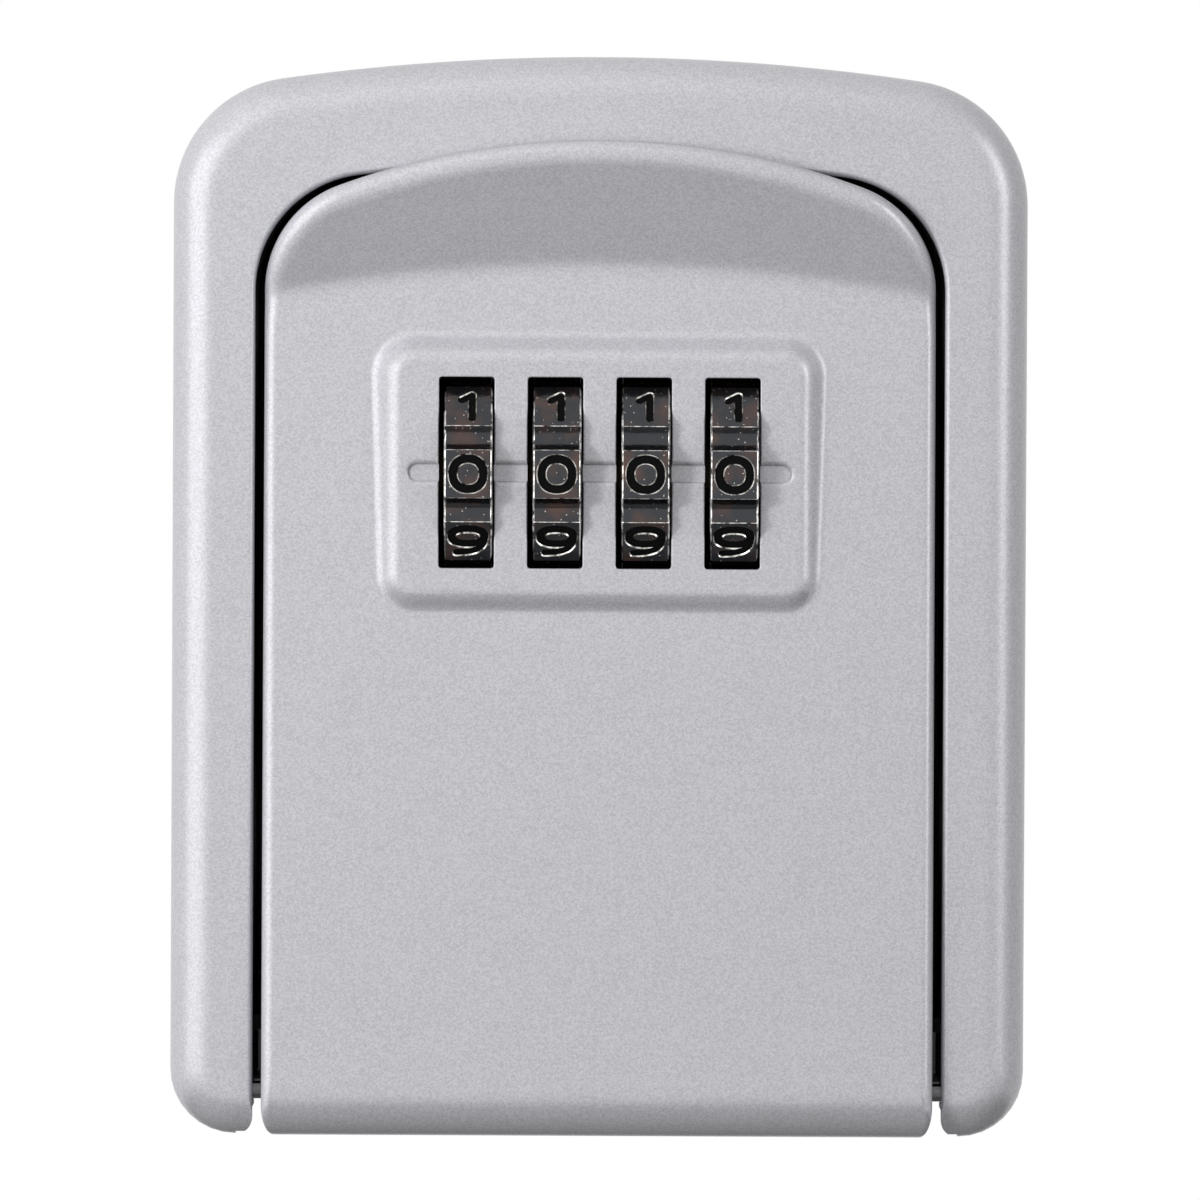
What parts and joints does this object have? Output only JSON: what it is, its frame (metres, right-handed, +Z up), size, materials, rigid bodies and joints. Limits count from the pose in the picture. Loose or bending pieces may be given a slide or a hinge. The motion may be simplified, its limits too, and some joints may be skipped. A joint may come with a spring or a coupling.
{
  "type": "wall-mounted key safe",
  "caption": "Small metal box for a wall, with a drop-down door, a scooped pull, a raised bezel and thumb-turned code wheels that free the latch.",
  "frame": {"origin": "on the wall face of the back plate, at the centre of the wall-screw pattern", "axes": "+X to the right seen from the front, -Y out of the wall towards the user, +Z up"},
  "size_m": [0.095, 0.04, 0.12],
  "materials": {
    "silver_paint": "satin",
    "black_chrome": "polished",
    "black_plastic": "matte",
    "zinc_steel": "zinc plated",
    "spring_steel": "bright",
    "brass": "turned"
  },
  "bodies": {
    "case": {"body_shell": "silver_paint", "back_plate": "zinc_steel", "back_screw_1": "zinc_steel", "back_screw_2": "zinc_steel", "back_screw_3": "zinc_steel", "back_screw_4": "zinc_steel", "inner_liner": "black_plastic", "key_hook": "zinc_steel", "hook_screw": "zinc_steel", "strike_plate": "zinc_steel", "strike_screw_1": "zinc_steel", "strike_screw_2": "zinc_steel", "hinge_pin": "zinc_steel"},
    "door": {"door_shell": "silver_paint", "dial_frame": "zinc_steel", "frame_screw_1": "zinc_steel", "frame_screw_2": "zinc_steel", "frame_screw_3": "zinc_steel", "frame_screw_4": "zinc_steel", "detent_spring_1": "spring_steel", "detent_spring_2": "spring_steel", "detent_spring_3": "spring_steel", "detent_spring_4": "spring_steel", "detent_rivet_1": "zinc_steel", "detent_rivet_2": "zinc_steel", "detent_rivet_3": "zinc_steel", "detent_rivet_4": "zinc_steel", "guide_screw_1": "zinc_steel", "guide_screw_2": "zinc_steel", "latch_spring_1": "spring_steel", "latch_spring_2": "spring_steel", "inner_cover": "black_plastic", "cover_screw_1": "zinc_steel", "cover_screw_2": "zinc_steel", "cover_screw_3": "zinc_steel", "cover_screw_4": "zinc_steel"},
    "latch": {"latch_bar": "zinc_steel"},
    "wheel_1": {"dial_1": "black_chrome"},
    "wheel_2": {"dial_2": "black_chrome"},
    "wheel_3": {"dial_3": "black_chrome"},
    "wheel_4": {"dial_4": "black_chrome"},
    "code_slide": {"code_spindle": "zinc_steel", "spindle_clip": "spring_steel", "code_lever": "black_plastic"},
    "clutch_1": {"hub_1": "brass"},
    "clutch_2": {"hub_2": "brass"},
    "clutch_3": {"hub_3": "brass"},
    "clutch_4": {"hub_4": "brass"}
  },
  "joints": [
    {"name": "door_hinge", "type": "hinge", "parent": "case", "child": "door", "pos_m": [0, -0.0315, -0.057], "axis": [1, 0, 0], "range_deg": [0, 100]},
    {"name": "wheel_1_turn", "type": "hinge", "parent": "door", "child": "wheel_1", "pos_m": [-0.01455, -0.0259, 0.0117], "axis": [1, 0, 0], "continuous": true, "deforming": ["detent_spring_1"]},
    {"name": "wheel_2_turn", "type": "hinge", "parent": "door", "child": "wheel_2", "pos_m": [-0.00471, -0.0259, 0.0117], "axis": [1, 0, 0], "continuous": true, "deforming": ["detent_spring_2"]},
    {"name": "wheel_3_turn", "type": "hinge", "parent": "door", "child": "wheel_3", "pos_m": [0.00511, -0.0259, 0.0117], "axis": [1, 0, 0], "continuous": true, "deforming": ["detent_spring_3"]},
    {"name": "wheel_4_turn", "type": "hinge", "parent": "door", "child": "wheel_4", "pos_m": [0.01494, -0.0259, 0.0117], "axis": [1, 0, 0], "continuous": true, "deforming": ["detent_spring_4"]},
    {"name": "code_shift", "type": "slide", "parent": "door", "child": "code_slide", "axis": [1, 0, 0], "range_m": [0, 0.0022]},
    {"name": "clutch_1_turn", "type": "hinge", "parent": "code_slide", "child": "clutch_1", "pos_m": [-0.01455, -0.0259, 0.0117], "axis": [1, 0, 0], "continuous": true},
    {"name": "clutch_2_turn", "type": "hinge", "parent": "code_slide", "child": "clutch_2", "pos_m": [-0.00471, -0.0259, 0.0117], "axis": [1, 0, 0], "continuous": true},
    {"name": "clutch_3_turn", "type": "hinge", "parent": "code_slide", "child": "clutch_3", "pos_m": [0.00511, -0.0259, 0.0117], "axis": [1, 0, 0], "continuous": true},
    {"name": "clutch_4_turn", "type": "hinge", "parent": "code_slide", "child": "clutch_4", "pos_m": [0.01494, -0.0259, 0.0117], "axis": [1, 0, 0], "continuous": true},
    {"name": "latch_throw", "type": "slide", "parent": "door", "child": "latch", "axis": [0, 0, 1], "range_m": [0, 0.0024], "stiffness_N_per_m": 180, "springref_m": 0.005, "deforming": ["latch_spring_1", "latch_spring_2"]}
  ],
  "couplings": [
    {"joint": "clutch_1_turn", "follows": "wheel_1_turn", "ratio": 1},
    {"joint": "clutch_2_turn", "follows": "wheel_2_turn", "ratio": 1},
    {"joint": "clutch_3_turn", "follows": "wheel_3_turn", "ratio": 1},
    {"joint": "clutch_4_turn", "follows": "wheel_4_turn", "ratio": 1}
  ]
}
